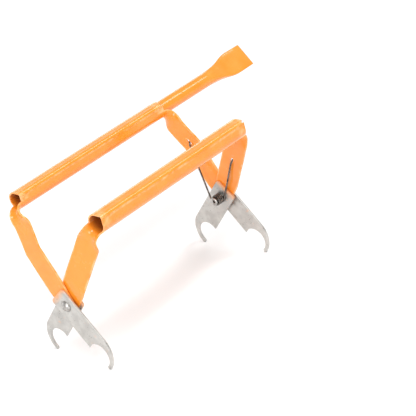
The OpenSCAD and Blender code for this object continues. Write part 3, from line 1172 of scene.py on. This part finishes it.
@dataclass
class TorsionSpring:
    """One wire: a leg in each far arm's slot and a coil round the far pin."""

    place: Place
    wire_d: float = 1.8
    coil_r: float = 5.0
    front_face: float = 217.85
    rear_face: float = 222.78
    front_slot: float = 57.0
    rear_slot: float = 67.0
    front_rise: float = 18.0
    rear_rise: float = 3.0
    turns: int = 3
    pitch: float = 2.3
    coil_gap: float = 0.3
    leg_gap: float = 1.2
    leg_bend: float = 2.6
    bend_soft: float = 0.5
    front_lean: float = 31.0
    rear_lean: float = 29.0
    sides: int = 14

    @property
    def angle(self) -> float:
        """Whole turn of the coil between the legs, in degrees."""
        return 360 * self.turns + 180 - self.front_lean - self.rear_lean

    @property
    def coil_x(self) -> float:
        """Middle of the wire at the coil's outer end."""
        return GRIP_LEN + PLATE_IN - self.coil_gap - self.wire_d / 2

    @property
    def coil_end_x(self) -> float:
        """Middle of the wire at the coil's inner end."""
        return self.coil_x - self.pitch * self.angle / 360

    def leg(self, lean: float, side: int, start_x: float, face: float, rise_at: float,
            slot_at: float) -> list[tuple[np.ndarray, np.ndarray]]:
        """Centres of a leg and the direction across it.

        Args:
            lean: The arm's lean in degrees.
            side: Side of the arm's centre line where the leg leaves the coil.
            start_x: Where it leaves the coil.
            face: x of the arm's inner face at the slot.
            rise_at: Distance from the pivot up to which it keeps its first x.
            slot_at: Distance from the pivot to the slot.

        Returns:
            (centre, across) pairs from the coil to the tip.
        """
        a = math.radians(lean)
        across = np.array([0, math.cos(a), math.sin(a)])
        along = np.array([0, -math.sin(a), math.cos(a)])
        bend_at, reach = slot_at - self.leg_bend, face - self.leg_gap
        straight = [3, 7, 11, 15, rise_at + 1, 23, 28, 34, 40, 46]
        bend = [bend_at + step for step in (-5, -2, -1, -0.4, 0, 0.4, 1)]
        tip = [slot_at + step for step in (-0.6, 0.6, 2)]
        made = []
        for s in sorted(straight + bend + tip):
            x = start_x + (reach - start_x) * min(1.0, max(0.0, (s - rise_at) / (bend_at - rise_at)))
            x += 0.5 * (s - bend_at + math.hypot(s - bend_at, self.bend_soft))
            off = side * self.coil_r * (1 - s / (slot_at + 4))
            made.append((np.array([x, 0, 0]) + s * along + off * across, side * across))
        return made

    def path(self) -> list[tuple[np.ndarray, np.ndarray]]:
        """Lays out the whole wire, from the front leg's tip to the rear's.

        Returns:
            (centre, direction across) pairs.
        """
        front = self.leg(self.front_lean, -1, self.coil_x, self.front_face, self.front_rise, self.front_slot)
        rear = self.leg(-self.rear_lean, 1, self.coil_end_x, self.rear_face, self.rear_rise, self.rear_slot)
        coil = []
        steps = int(self.angle / 7.5)
        for i in range(steps + 1):
            turn = self.angle * i / steps
            a = math.radians(180 + self.front_lean + turn)
            radial = np.array([0, math.cos(a), math.sin(a)])
            middle = np.array([self.coil_x - self.pitch * turn / 360, 0, 0])
            coil.append((middle + self.coil_r * radial, radial))
        return [*front[::-1], *coil, *rear]

    def build(self, material: bpy.types.Material) -> bpy.types.Object:
        """Builds and dresses the spring.

        Args:
            material: Its wire steel.

        Returns:
            The spring.
        """
        path = self.path()
        centres = [c for c, _ in path]
        points = []
        for i, (centre, across) in enumerate(path):
            run = unit(centres[min(i + 1, len(path) - 1)] - centres[max(i - 1, 0)])
            e1 = unit(across - run * float(across @ run))
            e2 = np.cross(run, e1)
            tip = 0.82 if i in (0, len(path) - 1) else 1.0
            for k in range(self.sides):
                a = 2 * math.pi * k / self.sides
                points.append(centre + tip * self.wire_d / 2 * (math.cos(a) * e1 + math.sin(a) * e2))
        faces = tube_faces(len(path), self.sides)
        obj = make_object("spring_wire_body", points, faces, self.place.matrix())
        smooth_by_angle(obj, 50)
        dress(obj, material, "spring_wire", "", "spring_rear_half", "spring_front_half")
        self.place.point(215, 4.0, 0)
        self.place.point(215, -4.0, 0)
        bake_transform(obj)
        return obj


# ---- Scraper ----

WIDTH_RUNS = (0, 0.15, 0.3, 0.4, 0.52, 0.63, 1)
THICK_RUNS = (0, 0.15, 0.3, 0.4, 0.52, 0.63, 0.88, 1)


@dataclass
class Scraper:
    """A tube held in the rear grip, flattened at its end into a chisel blade."""

    place: Place
    radius: float = 7.8
    wall: float = 1.3
    start_x: float = 185.0
    blade_x: float = 286.0
    blade_len: float = 70.0
    blade_w: float = 27.8
    edge_t: float = 0.8
    blade_lean: float = 41.0
    sides: int = 64
    shank_rows: int = 16
    blade_rows: int = 48

    def width(self, run: float) -> float:
        """Blade width at a distance from the round shank."""
        widths = [2 * self.radius, 16, 17.8, 20.5, 25.4, self.blade_w, self.blade_w - 0.6]
        return float(np.interp(run / self.blade_len, WIDTH_RUNS, widths))

    def thick(self, run: float) -> float:
        """Blade thickness at a distance from the round shank."""
        thicks = [2 * self.radius, 13.2, 9, 5.6, 3.6, 3, 2.6, self.edge_t]
        return float(np.interp(run / self.blade_len, THICK_RUNS, thicks))

    def smooth(self, value: Callable[[float], float], run: float) -> float:
        """The mean of a profile over a short stretch, which rounds its corners."""
        reach = min(3.5, run, self.blade_len - run)
        return sum(value(run + reach * k / 4) for k in range(-4, 5)) / 9

    def ring(self, x: float) -> list[Point3]:
        """Draws one section: a circle that becomes a flat rounded bar.

        Args:
            x: Its place along the scraper.

        Returns:
            Its points.
        """
        run = x - self.blade_x
        if run <= 0:
            w = t = 2 * self.radius
            power = 1.0
        else:
            w, t = self.smooth(self.width, run), self.smooth(self.thick, run)
            power = 1 / (1 + 2.2 * ease(run / (0.5 * self.blade_len)))
        made = []
        for i in range(self.sides):
            a = 2 * math.pi * (i + 0.5) / self.sides
            c, s = math.cos(a), math.sin(a)
            across, up = math.copysign(abs(c) ** power, c), math.copysign(abs(s) ** power, s)
            made.append((x, w / 2 * across, t / 2 * up))
        return made

    def build(self, material: bpy.types.Material, axis_y: float, axis_z: float) -> bpy.types.Object:
        """Builds and dresses the scraper.

        Args:
            material: Its enamel.
            axis_y: y of the rear grip's axis.
            axis_z: z of the rear grip's axis.

        Returns:
            The scraper.
        """
        inner_r = self.radius - self.wall
        shank = self.blade_x - self.start_x
        xs = [self.start_x, self.start_x + 0.4]
        xs += [self.start_x + shank * i / self.shank_rows for i in range(1, self.shank_rows + 1)]
        xs += [self.blade_x + self.blade_len * i / self.blade_rows for i in range(1, self.blade_rows + 1)]
        rings = [self.ring(x) for x in xs]
        mouth = self.ring(self.start_x)
        bore = [[(x, y * inner_r / self.radius, z * inner_r / self.radius) for _, y, z in mouth]
                for x in (self.blade_x - 2, self.start_x)]
        points = [p for ring in [*bore, *rings] for p in ring]
        faces = tube_faces(len(rings) + 2, self.sides)
        turn = Matrix.Rotation(math.radians(90 - self.blade_lean), 4, "X")
        local = Matrix.Translation((0, axis_y, axis_z)) @ turn @ Matrix.Rotation(math.pi, 4, "X")
        obj = make_object("scraper_body", points, faces, self.place.matrix() @ local)
        soften_edges(obj, 0.25, 2, 50)
        dress(obj, material, "scraper_paint", REAR_BODY, "scraper")
        return obj


# ---- Stage ----


@dataclass
class Studio:
    """Pale floor, soft lights and the camera."""

    place: Place
    effects: EffectLibrary
    heading: float = 46.86
    tilt: float = 25.92
    roll: float = -13.05
    distance: float = 1850.0
    target: Point3 = (191.3, -6.4, 2.3)
    lens: float = 153.2
    floor_half: float = 6.0
    aim_height: float = 0.08
    world_light: float = 0.56

    def floor(self) -> None:
        """A wide pale floor at foot level."""
        half = self.floor_half
        corners = [(-half, -half, 0), (half, -half, 0), (half, half, 0), (-half, half, 0)]
        mesh = bpy.data.meshes.new("floor")
        mesh.from_pydata(corners, [], [(0, 1, 2, 3)])
        obj = bpy.data.objects.new("floor", mesh)
        bpy.context.scene.collection.objects.link(obj)
        mesh.materials.append(PaleFloor(self.effects).build("pale_floor"))

    def light(self, name: str, at: Point3, size: Point2, power: float) -> None:
        """A soft light aimed at the tool, its long side level.

        Args:
            name: Name of the light.
            at: Its place in metres from the tool's middle.
            size: Its long and short sides in metres.
            power: Power in watts.
        """
        data = bpy.data.lights.new(name, "AREA")
        data.shape = "RECTANGLE"
        data.size, data.size_y = size
        data.energy = power
        obj = bpy.data.objects.new(name, data)
        obj.location = Vector(at)
        aim = Vector((0, 0, self.aim_height)) - Vector(at)
        obj.rotation_euler = aim.to_track_quat("-Z", "Y").to_euler()
        bpy.context.scene.collection.objects.link(obj)

    def world(self) -> None:
        """Even white surroundings."""
        world = bpy.data.worlds.new("studio_white")
        world.use_nodes = True
        back = world.node_tree.nodes["Background"]
        back.inputs["Color"].default_value = (1.0, 1.0, 1.0, 1.0)
        back.inputs["Strength"].default_value = self.world_light
        bpy.context.scene.world = world

    def camera(self) -> None:
        """The camera, rolled a little about its own axis."""
        a, e = math.radians(self.heading), math.radians(self.tilt)
        ahead = Vector((math.cos(a) * math.cos(e), math.sin(a) * math.cos(e), -math.sin(e)))
        data = bpy.data.cameras.new("camera")
        data.lens = self.lens
        data.sensor_width = 36.0
        data.clip_end = 20.0
        obj = bpy.data.objects.new("camera", data)
        turn = ahead.to_track_quat("-Z", "Y").to_matrix() @ Matrix.Rotation(math.radians(self.roll), 3, "Z")
        eye = self.place.point(*self.target) - ahead * self.distance * MM
        obj.matrix_world = Matrix.Translation(eye) @ turn.to_4x4()
        bpy.context.scene.collection.objects.link(obj)
        bpy.context.scene.camera = obj

    def build(self) -> None:
        """Builds the whole stage."""
        self.floor()
        self.world()
        self.light("strip_front", (0.05, -0.52, 1.25), (2.4, 0.36), 19)
        self.light("strip_back", (0.1, 1.3, 0.5), (2.4, 0.4), 6)
        self.light("side", (-1.6, -0.4, 0.5), (0.8, 0.6), 10)
        self.camera()
        view = bpy.context.scene.view_settings
        view.view_transform = "Standard"
        view.exposure = 0.0


def main() -> None:
    """Builds every sub-assembly in order."""
    logging.basicConfig(level=logging.INFO, format="%(message)s")
    place = Place.from_joint(frame["joints"][0])
    effects = EffectLibrary()
    enamel = GlossEnamel(effects).build("orange_enamel")
    # The scraper's edges get a stronger painted highlight.
    blade_enamel = GlossEnamel(effects, edge_highlight_strength=0.8).build("scraper_enamel")
    plate = PlateSteel(effects).build("hook_plate_steel")
    turned = TurnedSteel(effects).build("rivet_steel")
    dark_wire = TurnedSteel(effects, light=(0.22, 0.19, 0.165, 1.0), dark=(0.08, 0.065, 0.055, 1.0),
                            roughness=0.2)
    wire = dark_wire.build("spring_wire_steel")

    rear = SheetHandle(place, "rear_handle_shell", REAR_BODY, radius=9.3, reach=113.0, lean=-29.0,
                       arm_out=13.8, slot_at=67.0, bore_d=6.0)
    front = SheetHandle(place, "front_handle_shell", FRONT_BODY, radius=10.5, reach=109.0, lean=31.0,
                        arm_out=11.3, slot_at=57.0, bend_r=4.25, slope=6.5)
    rear.build(enamel)
    front.build(enamel)
    back = math.radians(-rear.lean)
    Scraper(place).build(blade_enamel, rear.reach * math.sin(back), rear.reach * math.cos(back))
    for far, end in ((False, "near"), (True, "far")):
        rear_hook = HookPlate(place, f"rear_hook_{end}_plate", REAR_BODY, f"rear_hook_{end}",
                              inner_out=15.3, mirrored=True, far=far, bore_d=6.0)
        rear_hook.build(plate)
        front_hook = HookPlate(place, f"front_hook_{end}_plate", FRONT_BODY, f"front_hook_{end}",
                               inner_out=PLATE_IN, mirrored=False, far=far)
        front_hook.build(plate)
    spring = TorsionSpring(place, front_face=front.slot_face, rear_face=rear.slot_face)
    pivots = Pivots(place)
    pin_len = GRIP_LEN + pivots.head_out - spring.coil_end_x + spring.wire_d + 1.2
    turned_pieces = (
        (pivots.near_rivet(), "near_rivet"),
        (pivots.far_pin(pin_len), "far_pivot_pin"),
        (pivots.washer("near_washer", False), "near_spacer"),
        (pivots.washer("far_washer", True), "far_spacer"),
    )
    for obj, node in turned_pieces:
        smooth_by_angle(obj)
        dress(obj, turned, "rivet_steel", REAR_BODY, node)
    spring.build(wire)
    Studio(place, effects).build()


if __name__ == "__main__":
    main()
